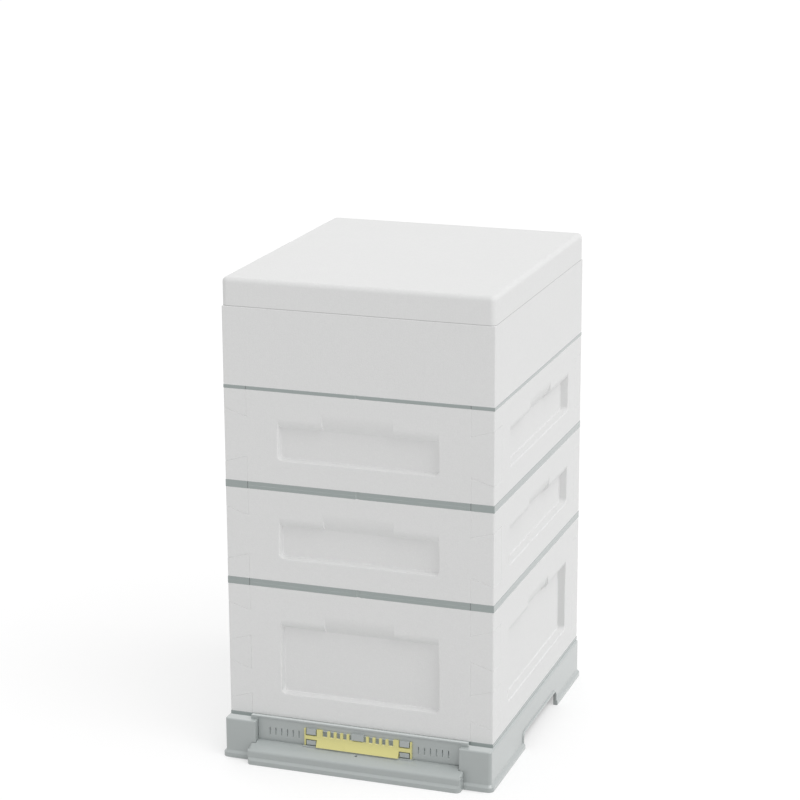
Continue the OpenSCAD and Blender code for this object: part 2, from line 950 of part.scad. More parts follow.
// Entrance wall: mouth, air slots, lugs for the gate, and ears pinned in the blocks
module entrance_wall() {
  lug_y = front_face - lug_out;
  color(plastic) at_height(0) {
    along_y(front_face, front_y) difference() {
      translate([-wall_x, sill_z]) square([2 * wall_x, front_top - sill_z]);
      translate([-wide_x, mouth_z]) square([2 * wide_x, gate_top - mouth_z]);
      for (side = [-1, 1], i = [0:air_slots - 1])
        translate([side * (air_x0 + i * air_pitch) - air_w / 2, air_z]) square([air_w, air_h]);
    }
    block([-ear_x, front_face - flange_out, front_top - flange_t], [ear_x, front_y + flange_out, front_top]);
    for (side = [0, 1]) mirror([side, 0, 0]) {
      block([wall_x, front_face - flange_out, ear_low], [ear_x, front_y + flange_out, front_top]);
      translate([ear_mid, pin_y, ear_low - pin_l]) cylinder(d = ear_pin, h = pin_l + cut);
      block([lug_in, lug_y, lug_low], [lug_x, front_face, gate_top]);
      block([lug_in, lug_y, gate_z + lug_gap], [lug_x, front_face, gate_z + bar_z - lug_gap]);
    }
    block([-centre_lug, lug_y, lug_low], [centre_lug, front_y, gate_top + cut]);
    block([-shelf_x, front_face - shelf_out, sill_z], [shelf_x, front_face, gate_z]);
  }
}

// Yellow gate: bar, teeth, end posts and a leaning apron
module entrance_gate() {
  apron_top = gate_z + bar_z;
  tooth_h = gate_top - apron_top;
  color(yellow) at_height(0) {
    along_y(front_face - gate_t, front_face) {
      translate([-gate_x, apron_top]) square([gate_w, bar_h]);
      for (side = [0, 1]) mirror([side, 0]) {
        translate([gate_x - post_w, gate_z]) square([post_w, gate_h]);
        translate([wide_x - wide_tooth, apron_top]) square([wide_tooth, tooth_h]);
        for (i = [0:teeth - 1]) {
          x = tooth_x0 + i * tooth_pitch;
          translate([x - tooth_w / 2, apron_top]) square([tooth_w, tooth_h - tooth_short]);
        }
      }
    }
    along_x(wide_x) translate([front_face, 0]) polygon([
      [0, gate_z],
      [0, apron_top + cut],
      [-gate_t, apron_top + cut],
      [-gate_t - apron_out, gate_z]
    ]);
  }
}

// Outline of the landing board from front to back, drawn in from its faces by a wall
module board_outline(wall) {
  face = board_face + wall;
  r = board_r;
  run = r / tan((90 + board_tilt) / 2);
  low = board_low - wall;
  top = sill_z - (wall > 0 ? sill_t : 0);
  rear = board_rear + (wall > 0 ? cut : 0);
  floor_z = wall > 0 ? -cut : 0;
  polygon([
    [rear, top],
    [board_rear - board_flat, top],
    [face + run * cos(board_tilt), low + run * sin(board_tilt)],
    [face, low - run],
    [face, floor_z],
    [rear, floor_z]
  ]);
  translate([face + r, low - run]) circle(r);
}

// Section of the bead along the landing board's foot
module board_bead() {
  polygon([
    [board_front, 0],
    [board_front, bead_h],
    [board_face, bead_h + bead_w],
    [board_rear, bead_h + bead_w],
    [board_rear, 0]
  ]);
}

// Plan of the landing board, wider in front of the blocks and rounded at its front corners
module board_plan(wall, lap_end) {
  front = board_front + wall;
  lap = lap_end - wall;
  x = board_x - wall;
  r = board_round - wall;
  translate([-wall_x + wall, lap - cut]) square([2 * (wall_x - wall), board_rear - lap + 2 * cut]);
  translate([-x, front + r]) square([2 * x, lap - front - r]);
  translate([r - x, front]) square([2 * (x - r), lap - front]);
  for (side = [-1, 1]) translate([side * (x - r), front + r]) circle(r);
}

// Plan of the landing board carried up: it clears the blocks' bead and closes in on them above it
module board_block(wall) {
  low = board_lap_z + wall;
  linear_extrude(floor_h) board_plan(wall, board_lap_y);
  translate([0, 0, low]) linear_extrude(floor_h - low) board_plan(wall, board_lap_top);
}

// Landing board: sloping hood that hooks under the sill and laps over the blocks
module landing_board() {
  hook_z = sill_z - sill_t;
  color(plastic) at_height(0) {
    difference() {
      intersection() {
        along_x(board_x) {
          board_outline(0);
          board_bead();
        }
        board_block(0);
      }
      intersection() {
        along_x(board_x) board_outline(skin);
        translate([0, 0, -cut]) board_block(skin);
      }
      translate([0, hole_y, 0]) cylinder(d = board_hole, h = floor_h);
    }
    for (side = [-1, 1]) {
      block(
        [side * tongue_x - tongue_w / 2, board_rear - board_flat, hook_z - tongue_t],
        [side * tongue_x + tongue_w / 2, board_rear + tongue_in, hook_z]
      );
    }
  }
}

brood_front_wall();
brood_back_wall();
brood_left_wall();
brood_right_wall();
brood_front_top_rail();
brood_back_top_rail();
brood_left_top_rail();
brood_right_top_rail();
brood_front_foot_rail();
brood_back_foot_rail();
brood_left_foot_rail();
brood_right_foot_rail();
lower_front_wall();
lower_back_wall();
lower_left_wall();
lower_right_wall();
lower_front_top_rail();
lower_back_top_rail();
lower_left_top_rail();
lower_right_top_rail();
lower_front_foot_rail();
lower_back_foot_rail();
lower_left_foot_rail();
lower_right_foot_rail();
upper_front_wall();
upper_back_wall();
upper_left_wall();
upper_right_wall();
upper_front_top_rail();
upper_back_top_rail();
upper_left_top_rail();
upper_right_top_rail();
upper_front_foot_rail();
upper_back_foot_rail();
upper_left_foot_rail();
upper_right_foot_rail();
feeder_body();
feeder_screen();
roof();
floor_base();
mesh_panel();
panel_clips();
entrance_wall();
entrance_gate();
landing_board();
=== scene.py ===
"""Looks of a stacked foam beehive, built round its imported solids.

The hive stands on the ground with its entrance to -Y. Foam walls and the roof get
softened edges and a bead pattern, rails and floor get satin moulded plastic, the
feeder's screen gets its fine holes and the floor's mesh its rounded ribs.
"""

from __future__ import annotations

import json
import logging
import math
from dataclasses import dataclass, field
from enum import Enum
from typing import Any, Callable, Iterable, Sequence, Union

import bmesh
import bpy
import numpy as np
from mathutils import Matrix, Vector

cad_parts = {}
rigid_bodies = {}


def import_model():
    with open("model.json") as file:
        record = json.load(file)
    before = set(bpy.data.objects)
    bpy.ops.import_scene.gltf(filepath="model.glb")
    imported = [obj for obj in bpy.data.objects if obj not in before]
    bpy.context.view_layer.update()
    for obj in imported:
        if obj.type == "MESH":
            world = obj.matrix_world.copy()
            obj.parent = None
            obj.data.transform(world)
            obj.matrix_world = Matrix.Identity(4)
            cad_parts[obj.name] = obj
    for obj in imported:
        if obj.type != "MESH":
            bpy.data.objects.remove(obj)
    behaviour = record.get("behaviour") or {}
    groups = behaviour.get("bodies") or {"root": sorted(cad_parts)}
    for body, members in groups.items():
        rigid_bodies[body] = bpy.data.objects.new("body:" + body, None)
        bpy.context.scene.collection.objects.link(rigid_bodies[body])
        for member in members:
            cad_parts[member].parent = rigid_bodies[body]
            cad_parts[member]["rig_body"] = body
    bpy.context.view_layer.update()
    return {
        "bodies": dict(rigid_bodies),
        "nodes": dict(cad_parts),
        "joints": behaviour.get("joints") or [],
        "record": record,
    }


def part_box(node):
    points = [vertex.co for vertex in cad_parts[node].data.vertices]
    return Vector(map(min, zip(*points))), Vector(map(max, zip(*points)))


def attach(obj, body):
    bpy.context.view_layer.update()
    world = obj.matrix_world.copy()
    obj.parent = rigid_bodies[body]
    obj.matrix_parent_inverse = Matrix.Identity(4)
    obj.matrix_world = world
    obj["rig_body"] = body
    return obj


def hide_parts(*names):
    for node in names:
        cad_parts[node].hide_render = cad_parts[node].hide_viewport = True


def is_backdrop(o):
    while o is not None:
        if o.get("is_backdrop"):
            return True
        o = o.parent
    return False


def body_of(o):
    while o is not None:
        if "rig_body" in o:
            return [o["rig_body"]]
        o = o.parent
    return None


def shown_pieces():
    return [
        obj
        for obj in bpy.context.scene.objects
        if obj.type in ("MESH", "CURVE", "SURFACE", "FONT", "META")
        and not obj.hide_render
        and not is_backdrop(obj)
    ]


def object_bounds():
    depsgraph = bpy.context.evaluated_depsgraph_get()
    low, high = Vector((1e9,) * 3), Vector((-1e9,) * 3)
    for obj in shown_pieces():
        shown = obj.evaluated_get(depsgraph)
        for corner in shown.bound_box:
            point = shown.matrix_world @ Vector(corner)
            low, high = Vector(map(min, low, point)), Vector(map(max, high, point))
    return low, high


LOG = logging.getLogger("beehive")
MM = 0.001
FLAT_WEIGHT = 90  # how far large faces outweigh small ones in even shading, of 100
Colour = tuple[float, float, float]
Tint = Union[Colour, bpy.types.NodeSocket]
Group = bpy.types.Collection
Frame = dict[str, Any]
Point = Sequence[float]


class Slot(Enum):
    """Material slots of the part's record."""

    FOAM = "foam"
    RAIL = "rail_plastic"
    FLOOR = "floor_plastic"
    MESH = "mesh_plastic"
    CLIP = "yellow_clip"
    GATE = "yellow_gate"
    SCREEN = "screen_sheet"


class Axis(Enum):
    """Direction in which a box wall's outer face looks, as an index of its axis."""

    ACROSS = 0
    DEPTH = 1


# Shader tools


class Value:
    """A number that varies over a surface; its operators add Math nodes."""

    def __init__(self, tree: bpy.types.NodeTree, socket: bpy.types.NodeSocket) -> None:
        """Wraps an output socket of a node tree."""
        self.tree = tree
        self.socket = socket

    def _math(self, operation: str, left: "Number", right: "Number") -> "Value":
        """Adds one Math node.

        Args:
            operation: Blender's name of the operation.
            left: First input, a value or a number.
            right: Second input, a value or a number.

        Returns:
            The node's output.
        """
        node = self.tree.nodes.new("ShaderNodeMath")
        node.operation = operation
        for socket, given in zip(node.inputs, (left, right)):
            if isinstance(given, Value):
                self.tree.links.new(given.socket, socket)
            else:
                socket.default_value = float(given)
        return Value(self.tree, node.outputs[0])

    def __add__(self, other: "Number") -> "Value":
        """Sum."""
        return self._math("ADD", self, other)

    def __radd__(self, other: "Number") -> "Value":
        """Sum with the number first."""
        return self._math("ADD", other, self)

    def __sub__(self, other: "Number") -> "Value":
        """Difference."""
        return self._math("SUBTRACT", self, other)

    def __rsub__(self, other: "Number") -> "Value":
        """Difference with the number first."""
        return self._math("SUBTRACT", other, self)

    def __mul__(self, other: "Number") -> "Value":
        """Product."""
        return self._math("MULTIPLY", self, other)

    def __rmul__(self, other: "Number") -> "Value":
        """Product with the number first."""
        return self._math("MULTIPLY", other, self)

    def size(self) -> "Value":
        """Size without the sign."""
        return self._math("ABSOLUTE", self, 0.0)

    def over(self, other: "Number") -> "Value":
        """Larger of the two."""
        return self._math("MAXIMUM", self, other)


Number = Union[Value, float]


class Shader:
    """A material's node tree with one call that adds any node."""

    def __init__(self, name: str) -> None:
        """Makes an empty node material.

        Args:
            name: The material's name.
        """
        self.material = bpy.data.materials.new(name)
        self.material.use_nodes = True
        self.tree = self.material.node_tree
        self.tree.nodes.clear()
        self.out = self.tree.nodes.new("ShaderNodeOutputMaterial")

    def add(self, kind: str, settings: dict | None = None, **inputs: object) -> bpy.types.Node:
        """Adds a node, sets its settings and then its sockets.

        Args:
            kind: Node type without the ShaderNode prefix.
            settings: Attributes of the node, set before its sockets.
            inputs: Values or links by socket name, with _ for a space.

        Returns:
            The new node.
        """
        node = self.tree.nodes.new("ShaderNode" + kind)
        for key, value in (settings or {}).items():
            setattr(node, key, value)
        for key, value in inputs.items():
            self.set(node.inputs[key.replace("_", " ")], value)
        return node

    def set(self, socket: bpy.types.NodeSocket, value: object) -> None:
        """Links a socket, or writes a number or colour to it.

        Args:
            socket: The input socket.
            value: What it gets: a value, another socket, a number or a colour.
        """
        if isinstance(value, Value):
            self.tree.links.new(value.socket, socket)
        elif isinstance(value, bpy.types.NodeSocket):
            self.tree.links.new(value, socket)
        else:
            socket.default_value = value

    def value(self, node: bpy.types.Node, output: str | int = 0) -> Value:
        """Wraps one output of a node as a number."""
        return Value(self.tree, node.outputs[output])

    def coords(self) -> bpy.types.NodeSocket:
        """Object coordinates, in metres."""
        return self.add("TexCoord").outputs["Object"]

    def ramp(self, given: Number, low: float, high: float) -> Value:
        """Smooth step of a number.

        Args:
            given: The number.
            low: Where the step is 0.
            high: Where the step is 1.

        Returns:
            The step.
        """
        node = self.add(
            "MapRange",
            {"interpolation_type": "SMOOTHSTEP"},
            Value=given,
            From_Min=low,
            From_Max=high,
        )
        return self.value(node, "Result")

    def blend(self, share: Number, dark: Tint, light: Tint) -> bpy.types.NodeSocket:
        """Mixes two colours.

        Args:
            share: Share of the second colour.
            dark: First colour, linear, or its socket.
            light: Second colour, linear, or its socket.

        Returns:
            The mixed colour's socket.
        """
        node = self.add("Mix", {"data_type": "RGBA"})
        self.set(node.inputs[0], share)
        for socket, colour in ((node.inputs[6], dark), (node.inputs[7], light)):
            self.set(socket, (*colour, 1.0) if isinstance(colour, tuple) else colour)
        return node.outputs[2]

    def mottle(self, share: Number, colour: Colour, tone: float) -> bpy.types.NodeSocket:
        """Colour that varies a little to both sides of its own tone."""
        return self.blend(share, shade(colour, 1 - tone), shade(colour, 1 + tone))

    def place(self, at: bpy.types.NodeSocket) -> tuple[Value, Value, Value]:
        """Splits coordinates into their three numbers."""
        node = self.add("SeparateXYZ", None, Vector=at)
        return self.value(node, "X"), self.value(node, "Y"), self.value(node, "Z")

    def noise(
        self, at: bpy.types.NodeSocket, scale: float, detail: float, distortion: float = 0.0
    ) -> Value:
        """Noise over a surface.

        Args:
            at: Object coordinates.
            scale: How many of its marks fit in a metre.
            detail: Number of finer layers on it.
            distortion: How far it is drawn out of shape.

        Returns:
            The noise, about 0 to 1.
        """
        node = self.add(
            "TexNoise", None, Vector=at, Scale=scale, Detail=detail, Distortion=distortion
        )
        return self.value(node, "Fac")

    def finish(self, shader: bpy.types.Node) -> bpy.types.Material:
        """Links the surface shader to the output and returns the material."""
        self.tree.links.new(shader.outputs[0], self.out.inputs["Surface"])
        return self.material


def shade(colour: Colour, factor: float) -> Colour:
    """Colour made lighter or darker by a factor, kept in range."""
    return tuple(min(1.0, max(0.0, c * factor)) for c in colour)


def grey(level: float) -> Colour:
    """Neutral colour of one level."""
    return level, level, level


# Finishes


@dataclass(frozen=True)
class PassageShade:
    """Painted shade on the foam in the closed-in space behind the feeder's screen."""

    low: Point
    high: Point
    # Darkness of the painted shade, as a factor on the foam's colour
    tint: float = 0.5
    soft: float = 2.0 * MM

    @classmethod
    def behind(cls, low: Point, high: Point, reach: float = 30 * MM) -> "PassageShade":
        """Space behind and below a bent sheet, with the faces that it touches.

        Args:
            low: Lower corner of the sheet's box.
            high: Upper corner of the sheet's box.
            reach: How far into the foam the space is taken.

        Returns:
            The shade.
        """
        deep = (low[0] - reach, low[1], low[2] - reach)
        return cls(deep, (high[0] + reach, high[1] + reach, high[2]))

    def clear(self, sh: Shader, at: bpy.types.NodeSocket) -> Value:
        """Share of unshaded foam, which is 0 in the painted shade behind the sheet.

        Args:
            sh: Shader that the nodes go into.
            at: Object coordinates.

        Returns:
            The share.
        """
        past = [
            (along - (a + b) / 2).size() - (b - a) / 2
            for along, a, b in zip(sh.place(at), self.low, self.high)
        ]
        return sh.ramp(past[0].over(past[1]).over(past[2]), -self.soft, 0.0)


@dataclass(frozen=True)
class SeatShadeLine:
    """Painted shade: a thin dark line round the roof's lower edge, where it sits on the feeder."""

    seat: float
    half: tuple[float, float] = (235 * MM, 265 * MM)
    middle: float = 19.5 * MM
    rise: float = 1.1 * MM
    width: tuple[float, float] = (0.4 * MM, 0.9 * MM)
    skin: tuple[float, float] = (-4 * MM, -2 * MM)
    # Darkness of the painted seam shade, as a factor on the foam's colour
    tint: float = 0.68

    def clear(self, sh: Shader, at: bpy.types.NodeSocket) -> Value:
        """Share of unshaded foam, which is 0 along the painted seam shade.

        Args:
            sh: Shader that the nodes go into.
            at: Object coordinates.

        Returns:
            The share.
        """
        x, y, z = sh.place(at)
        out = (x.size() - self.half[0]).over((y - self.middle).size() - self.half[1])
        off = (z - (self.seat + self.rise)).size()
        return sh.ramp(off, *self.width).over(1.0 - sh.ramp(out, *self.skin))


@dataclass(frozen=True)
class FoamFinish:
    """Moulded bead foam: pressed beads that show as faint cells with fine creases.

    The tone is a weighted sum of each bead's own tone, a slow mottle and the beads' flat
    middles. The height is those middles with a fine noise on them.
    """

    name: str = "bead_foam"
    colour: Colour = (0.82, 0.822, 0.819)
    bead: float = 4.2 * MM
    crease: float = 0.16
    mottle_scale: float = 11.0
    fine_scale: float = 900.0
    weights: tuple[float, float, float] = (0.4, 0.35, 0.25)
    tone: float = 0.025
    relief: float = 0.16
    depth: float = 0.5 * MM
    fine_height: float = 0.25
    roughness: float = 0.62
    fine_rough: float = 0.12
    specular: float = 0.3
    # Marks of painted shade laid over the foam's colour
    marks: tuple[PassageShade | SeatShadeLine, ...] = ()

    def material(self) -> bpy.types.Material:
        """Builds the foam's shader: cell tones, creases between beads, a slow mottle and painted
        shade.

        Returns:
            The material.
        """
        sh = Shader(self.name)
        at = sh.coords()
        dense = 1.0 / self.bead
        cells = sh.add("TexVoronoi", {"feature": "F1"}, Vector=at, Scale=dense)
        edges = sh.add("TexVoronoi", {"feature": "DISTANCE_TO_EDGE"}, Vector=at, Scale=dense)
        slow = sh.noise(at, self.mottle_scale, detail=4.0)
        fine = sh.noise(at, self.fine_scale, detail=2.0)
        own = sh.value(sh.add("RGBToBW", None, Color=cells.outputs["Color"]))
        flat = sh.ramp(sh.value(edges, "Distance"), 0.0, self.crease)
        tone = own * self.weights[0] + slow * self.weights[1] + flat * self.weights[2]
        colour = sh.mottle(tone, self.colour, self.tone)
        # Painted shade: behind the feeder's screen and round the roof's seat
        for mark in self.marks:
            colour = sh.blend(mark.clear(sh, at), shade(self.colour, mark.tint), colour)
        rough = fine * self.fine_rough + (self.roughness - self.fine_rough / 2)
        height = flat * (1 - self.fine_height) + fine * self.fine_height
        bump = sh.add("Bump", None, Height=height, Strength=self.relief, Distance=self.depth)
        surface = sh.add(
            "BsdfPrincipled",
            None,
            Base_Color=colour,
            Roughness=rough,
            Normal=bump.outputs["Normal"],
            Specular_IOR_Level=self.specular,
        )
        return sh.finish(surface)


@dataclass(frozen=True)
class RailJointShade:
    """Painted shade: thin dark lines where the front and back rails butt against the side rails.
    """

    across: float = 195.0 * MM
    middle: float = 19.5 * MM
    inside: float = 225.0 * MM
    width: tuple[float, float] = (0.4 * MM, 1.1 * MM)
    fade: float = 1.0 * MM
    # Darkness of the painted joint shade, as a factor on the rail's colour
    tint: float = 0.45

    def clear(self, sh: Shader, at: bpy.types.NodeSocket) -> Value:
        """Share of unshaded rail, which is 0 along the painted shade of each joint.

        Args:
            sh: Shader that the nodes go into.
            at: Object coordinates.

        Returns:
            The share.
        """
        x, y, _ = sh.place(at)
        beside = (x.size() - self.across).size()
        behind = (y - self.middle).size()
        outer = sh.ramp(behind, self.inside - self.fade, self.inside)
        return sh.ramp(beside, *self.width).over(1.0 - outer)


@dataclass(frozen=True)
class SlotShade:
    """Painted shade on the mesh panel's slot walls below its face; its plain borders duller."""

    face: float
    reach: float = 154.0 * MM
    below: tuple[float, float] = (1.0 * MM, 0.1 * MM)
    fade: float = 1.0 * MM
    # Darkness of the painted slot shade, as a factor on the mesh's colour; the borders take part
    # of it as their own duller tone
    tint: float = 0.45
    border: float = 0.35

    def clear(self, sh: Shader, at: bpy.types.NodeSocket) -> Value:
        """Share of unshaded mesh, which is 0 in the painted shade on the walls of the slots.

        Args:
            sh: Shader that the nodes go into.
            at: Object coordinates.

        Returns:
            The share.
        """
        x, _, z = sh.place(at)
        above = sh.ramp(z, self.face - self.below[0], self.face - self.below[1])
        beside = sh.ramp(x.size(), self.reach, self.reach + self.fade)
        return above * (1.0 - beside) + beside * self.border


@dataclass(frozen=True)
class PlasticFinish:
    """Moulded plastic with a fine spark-eroded grain and slow flow marks."""

    name: str
    colour: Colour
    grain: float = 0.55 * MM
    flow_scale: float = 14.0
    speck_scale: float = 320.0
    flow_share: float = 0.7
    tone: float = 0.03
    relief: float = 0.12
    depth: float = 0.15 * MM
    roughness: float = 0.34
    flow_rough: float = 0.12
    grain_rough: float = 0.06
    specular: float = 0.5
    coat: float = 1.0
    coat_roughness: float = 0.2
    # Mark of painted shade laid over the plastic's colour
    mark: RailJointShade | SlotShade | None = None

    def material(self) -> bpy.types.Material:
        """Builds the plastic's shader: grain in the bump, flow marks in tone and gloss, and
        painted shade.

        Returns:
            The material.
        """
        sh = Shader(self.name)
        at = sh.coords()
        grain = sh.noise(at, 1.0 / self.grain, detail=2.0)
        flow = sh.noise(at, self.flow_scale, detail=3.0, distortion=0.6)
        speck = sh.noise(at, self.speck_scale, detail=1.0)
        tone = flow * self.flow_share + speck * (1 - self.flow_share)
        colour = sh.mottle(tone, self.colour, self.tone)
        # Painted shade of the mark: rail joints or mesh slots
        if self.mark is not None:
            colour = sh.blend(self.mark.clear(sh, at), shade(self.colour, self.mark.tint), colour)
        smoothest = self.roughness - (self.flow_rough + self.grain_rough) / 2
        rough = flow * self.flow_rough + grain * self.grain_rough + smoothest
        bump = sh.add("Bump", None, Height=grain, Strength=self.relief, Distance=self.depth)
        surface = sh.add(
            "BsdfPrincipled",
            None,
            Base_Color=colour,
            Roughness=rough,
            Normal=bump.outputs["Normal"],
            Specular_IOR_Level=self.specular,
            Coat_Weight=self.coat,
            Coat_Roughness=self.coat_roughness,
        )
        return sh.finish(surface)


@dataclass(frozen=True)
class Finishes:
    """Every finish of the hive, built once."""

    by_slot: dict[Slot, bpy.types.Material]

    @classmethod
    def build(cls) -> "Finishes":
        """Builds all materials.

        Returns:
            The set of finishes.
        """
        # Marks of painted shade: mesh slots, the passage behind the feeder's screen, the roof's
        # seat and the rail joints
        slots = SlotShade(face=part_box("mesh_panel")[1][2])
        passage = PassageShade.behind(*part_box("feeder_screen"))
        made = {
            Slot.FOAM: FoamFinish(marks=(passage, SeatShadeLine(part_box("roof")[0][2]))),
            Slot.RAIL: PlasticFinish("grey_rail", (0.325, 0.367, 0.360), mark=RailJointShade()),
            Slot.FLOOR: PlasticFinish("grey_floor", (0.41, 0.442, 0.437)),
            Slot.MESH: PlasticFinish(
                "pale_mesh", (0.69, 0.705, 0.70), specular=0.1, coat=0.0, mark=slots
            ),
            Slot.CLIP: PlasticFinish("yellow_clip", (0.67, 0.67, 0.34), coat=0.5),
            Slot.GATE: PlasticFinish("yellow_gate", (0.74, 0.69, 0.27), roughness=0.28, coat=0.5),
            Slot.SCREEN: PlasticFinish("screen_sheet", (0.84, 0.84, 0.825), coat=0.0),
        }
        return cls({slot: finish.material() for slot, finish in made.items()})

    def dress(self, piece: bpy.types.Object, slot: Slot) -> None:
        """Gives a piece the material of a slot."""
        piece.data.materials.clear()
        piece.data.materials.append(self.by_slot[slot])


# Mesh tools


@dataclass(frozen=True)
class SoftEdges:
    """Rounding of a solid's sharp edges by live modifiers."""

    width: float
    segments: int = 2
    angle: float = math.radians(38)
    clamp: bool = True
    merge: float = 0.01 * MM

    def apply(self, piece: bpy.types.Object) -> None:
        """Adds the modifiers that merge, round and even out a solid's surface.

        Args:
            piece: The solid.
        """
        weld = piece.modifiers.new("merged", "WELD")
        weld.merge_threshold = self.merge
        bevel = piece.modifiers.new("rounded", "BEVEL")
        bevel.width = self.width
        bevel.segments = self.segments
        bevel.limit_method = "ANGLE"
        bevel.angle_limit = self.angle
        bevel.use_clamp_overlap = self.clamp
        self.even(piece)

    @staticmethod
    def even(piece: bpy.types.Object) -> None:
        """Smooth shading that keeps large faces flat.

        Args:
            piece: The piece.
        """
        smooth(piece)
        weighted = piece.modifiers.new("even", "WEIGHTED_NORMAL")
        weighted.keep_sharp = True
        weighted.weight = FLAT_WEIGHT


def smooth(piece: bpy.types.Object) -> None:
    """Shades every face of a piece smooth."""
    faces = piece.data.polygons
    faces.foreach_set("use_smooth", np.ones(len(faces), bool))


def linked(name: str, data: bpy.types.ID) -> bpy.types.Object:
    """Makes an object and links it to the scene.

    Args:
        name: Object name.
        data: Its mesh, lamp or camera.

    Returns:
        The object, at the origin.
    """
    made = bpy.data.objects.new(name, data)
    bpy.context.scene.collection.objects.link(made)
    return made


def sheet_mesh(name: str, points: np.ndarray, faces: Iterable[Sequence[int]]) -> bpy.types.Object:
    """Makes an object from points and faces.

    Args:
        name: Piece name.
        points: Array of n by 3 coordinates in metres.
        faces: Corner numbers of each face.

    Returns:
        The linked object, at the origin.
    """
    mesh = bpy.data.meshes.new(name)
    mesh.from_pydata(points.tolist(), [], [tuple(f) for f in faces])
    mesh.validate()
    return linked(name, mesh)


# Sub-assemblies


Choice = Callable[[np.ndarray], np.ndarray]
Rule = tuple[Choice, float, int]


@dataclass
class SoftSolid:
    """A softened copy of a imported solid, rounded by rules that choose its sharp edges."""

    node: str
    body: str
    slot: Slot
    sharp: float = math.radians(30)
    crease: float = math.radians(50)
    broad: float = 100.0 * MM
    merge: float = 0.01 * MM
    touch: float = 0.001 * MM
    flat: float = 0.001
    coplanar: float = 0.01

    def rules(self) -> list[Rule]:
        """Rules in working order: choice of edges, width and facets."""
        return []

    @staticmethod
    def every_edge(ends: np.ndarray) -> np.ndarray:
        """All sharp edges."""
        return np.ones(len(ends), bool)

    def build(self, frame: Frame, finishes: Finishes) -> bpy.types.Object:
        """Makes the piece and hides its solid.

        Args:
            frame: The loaded frame.
            finishes: The hive's materials.

        Returns:
            The new piece.
        """
        work = bmesh.new()
        work.from_mesh(frame["nodes"][self.node].data)
        bmesh.ops.remove_doubles(work, verts=work.verts, dist=self.merge)
        bmesh.ops.dissolve_limit(
            work, angle_limit=self.coplanar, verts=work.verts, edges=work.edges
        )
        self._quarter(work)
        for choose, width, steps in self.rules():
            self._round(work, choose, width, steps)
        for edge in work.edges:
            edge.smooth = edge.calc_face_angle(0.0) < self.crease
        name = self.node + "_soft"
        mesh = bpy.data.meshes.new(name)
        work.to_mesh(mesh)
        work.free()
        piece = linked(name, mesh)
        SoftEdges.even(piece)
        finishes.dress(piece, self.slot)
        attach(piece, self.body)
        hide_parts(self.node)
        return piece

    def cuts(self) -> list[tuple[int, float]]:
        """Axis and place of each plane that parts flat faces: the middles of broad sides."""
        low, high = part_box(self.node)
        return [(k, (low[k] + high[k]) / 2) for k in range(3) if high[k] - low[k] > self.broad]

    def _quarter(self, work: bmesh.types.BMesh) -> None:
        """Parts flat faces at a few planes only, so that no cut ends at a corner.

        Args:
            work: Mesh being worked on.
        """
        cuts = self.cuts()
        for k, place in cuts:
            normal = [float(i == k) for i in range(3)]
            bmesh.ops.bisect_plane(
                work,
                geom=[*work.verts, *work.edges, *work.faces],
                dist=self.touch,
                plane_co=[place * n for n in normal],
                plane_no=normal,
            )
        level = [e for e in work.edges if e.calc_face_angle(1.0) < self.flat]
        ends = np.array([[v.co[:] for v in e.verts] for e in level])
        on_cut = [np.all(np.abs(ends[:, :, k] - at) < self.merge, axis=1) for k, at in cuts]
        loose = [level[i] for i in np.flatnonzero(~np.any(on_cut, axis=0))]
        bmesh.ops.dissolve_edges(work, edges=loose, use_verts=True)

    def _round(self, work: bmesh.types.BMesh, choose: Choice, width: float, steps: int) -> None:
        """Rounds the sharp edges that a rule chooses.

        Args:
            work: Mesh being worked on.
            choose: Rule from an array of edge ends, n by 2 by 3, to a mask.
            width: Rounding width.
            steps: Facets across the rounding.
        """
        edges = [e for e in work.edges if e.is_manifold and e.calc_face_angle(0.0) > self.sharp]
        ends = np.array([[v.co[:] for v in e.verts] for e in edges])
        bmesh.ops.bevel(
            work,
            geom=[edges[i] for i in np.flatnonzero(choose(ends))],
            offset=width,
            offset_type="OFFSET",
            segments=steps,
            profile=0.5,
            affect="EDGES",
            clamp_overlap=False,
        )


